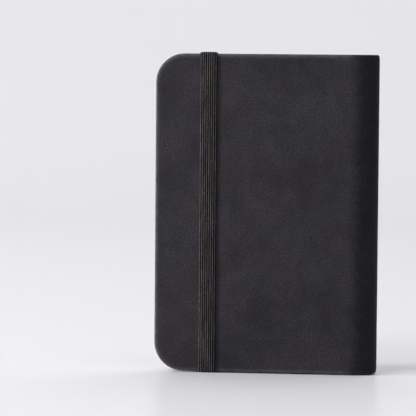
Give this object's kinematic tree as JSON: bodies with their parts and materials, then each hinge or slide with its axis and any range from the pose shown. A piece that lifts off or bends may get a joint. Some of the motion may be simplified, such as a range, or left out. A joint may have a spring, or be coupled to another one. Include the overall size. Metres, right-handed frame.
{
  "type": "pocket notebook",
  "caption": "Pocket notebook with a wrapped hard cover, rounded hollow spine, sewn leaves and an elastic strap that closes it.",
  "frame": {"origin": "under the middle of the closed notebook, on the surface that it stands on", "axes": "+X from the fore-edge to the spine, +Y from the front cover to the back cover, +Z from tail to head"},
  "size_m": [0.1, 0.0168, 0.1444],
  "materials": {
    "cover_skin": "matte",
    "board": "matte",
    "endpaper": "matte",
    "leaf_paper": "matte",
    "strap": "matte",
    "band": "matte",
    "thread": "matte",
    "mull": "matte"
  },
  "bodies": {
    "block": {"signature_05": "leaf_paper", "signature_06": "leaf_paper", "signature_07": "leaf_paper", "signature_08": "leaf_paper", "sewn_folds": "leaf_paper", "sewing_thread": "thread", "spine_mull": "mull", "head_band": "band", "tail_band": "band", "spine_skin": "cover_skin", "spine_stiffener": "board"},
    "front_cover": {"front_cover_skin": "cover_skin", "front_cover_board": "board", "front_pastedown": "endpaper"},
    "back_cover": {"back_cover_skin": "cover_skin", "back_cover_board": "board", "back_pastedown": "endpaper", "strap_head_leg": "strap", "strap_tail_leg": "strap", "strap_head_anchor": "strap", "strap_tail_anchor": "strap"},
    "strap": {"strap_strand": "strap"},
    "front_flyleaf": {"front_flyleaf": "endpaper"},
    "back_flyleaf": {"back_flyleaf": "endpaper"},
    "signature_01": {"signature_01": "leaf_paper"},
    "signature_02": {"signature_02": "leaf_paper"},
    "signature_03": {"signature_03": "leaf_paper"},
    "signature_04": {"signature_04": "leaf_paper"},
    "signature_12": {"signature_12": "leaf_paper"},
    "signature_11": {"signature_11": "leaf_paper"},
    "signature_10": {"signature_10": "leaf_paper"},
    "signature_09": {"signature_09": "leaf_paper"}
  },
  "joints": [
    {"name": "front_cover_hinge", "type": "hinge", "parent": "block", "child": "front_cover", "pos_m": [0.042, -0.00747, 0.00055], "axis": [0, 0, 1], "range_deg": [0, 179], "stiffness_Nm_per_rad": 0.02},
    {"name": "back_cover_hinge", "type": "hinge", "parent": "block", "child": "back_cover", "pos_m": [0.042, 0.00833, 0.00055], "axis": [0, 0, -1], "range_deg": [0, 179], "stiffness_Nm_per_rad": 0.02},
    {"name": "strap_pull", "type": "slide", "parent": "back_cover", "child": "strap", "axis": [-1, 0, 0], "range_m": [0, 0.036], "stiffness_N_per_m": 40, "deforming": ["strap_strand"]},
    {"name": "front_flyleaf_turn", "type": "hinge", "parent": "block", "child": "front_flyleaf", "pos_m": [0.039, -0.00568, 0.00055], "axis": [0, 0, 1], "range_deg": [0, 111.5]},
    {"name": "signature_01_turn", "type": "hinge", "parent": "block", "child": "signature_01", "pos_m": [0.039, -0.00547, 0.00055], "axis": [0, 0, 1], "range_deg": [0, 93.6]},
    {"name": "signature_02_turn", "type": "hinge", "parent": "block", "child": "signature_02", "pos_m": [0.039, -0.00449, 0.00055], "axis": [0, 0, 1], "range_deg": [0, 75.7]},
    {"name": "signature_03_turn", "type": "hinge", "parent": "block", "child": "signature_03", "pos_m": [0.039, -0.0035, 0.00055], "axis": [0, 0, 1], "range_deg": [0, 56]},
    {"name": "signature_04_turn", "type": "hinge", "parent": "block", "child": "signature_04", "pos_m": [0.039, -0.00252, 0.00055], "axis": [0, 0, 1], "range_deg": [0, 36.3]},
    {"name": "back_flyleaf_turn", "type": "hinge", "parent": "block", "child": "back_flyleaf", "pos_m": [0.039, 0.00653, 0.00055], "axis": [0, 0, -1], "range_deg": [0, 111.5]},
    {"name": "signature_12_turn", "type": "hinge", "parent": "block", "child": "signature_12", "pos_m": [0.039, 0.00632, 0.00055], "axis": [0, 0, -1], "range_deg": [0, 93.6]},
    {"name": "signature_11_turn", "type": "hinge", "parent": "block", "child": "signature_11", "pos_m": [0.039, 0.00534, 0.00055], "axis": [0, 0, -1], "range_deg": [0, 75.7]},
    {"name": "signature_10_turn", "type": "hinge", "parent": "block", "child": "signature_10", "pos_m": [0.039, 0.00435, 0.00055], "axis": [0, 0, -1], "range_deg": [0, 56]},
    {"name": "signature_09_turn", "type": "hinge", "parent": "block", "child": "signature_09", "pos_m": [0.039, 0.00337, 0.00055], "axis": [0, 0, -1], "range_deg": [0, 36.3]}
  ],
  "couplings": [
    {"joint": "front_flyleaf_turn", "follows": "front_cover_hinge", "ratio": 0.62},
    {"joint": "signature_01_turn", "follows": "front_cover_hinge", "ratio": 0.52},
    {"joint": "signature_02_turn", "follows": "front_cover_hinge", "ratio": 0.42},
    {"joint": "signature_03_turn", "follows": "front_cover_hinge", "ratio": 0.31},
    {"joint": "signature_04_turn", "follows": "front_cover_hinge", "ratio": 0.2},
    {"joint": "back_flyleaf_turn", "follows": "back_cover_hinge", "ratio": 0.62},
    {"joint": "signature_12_turn", "follows": "back_cover_hinge", "ratio": 0.52},
    {"joint": "signature_11_turn", "follows": "back_cover_hinge", "ratio": 0.42},
    {"joint": "signature_10_turn", "follows": "back_cover_hinge", "ratio": 0.31},
    {"joint": "signature_09_turn", "follows": "back_cover_hinge", "ratio": 0.2}
  ]
}
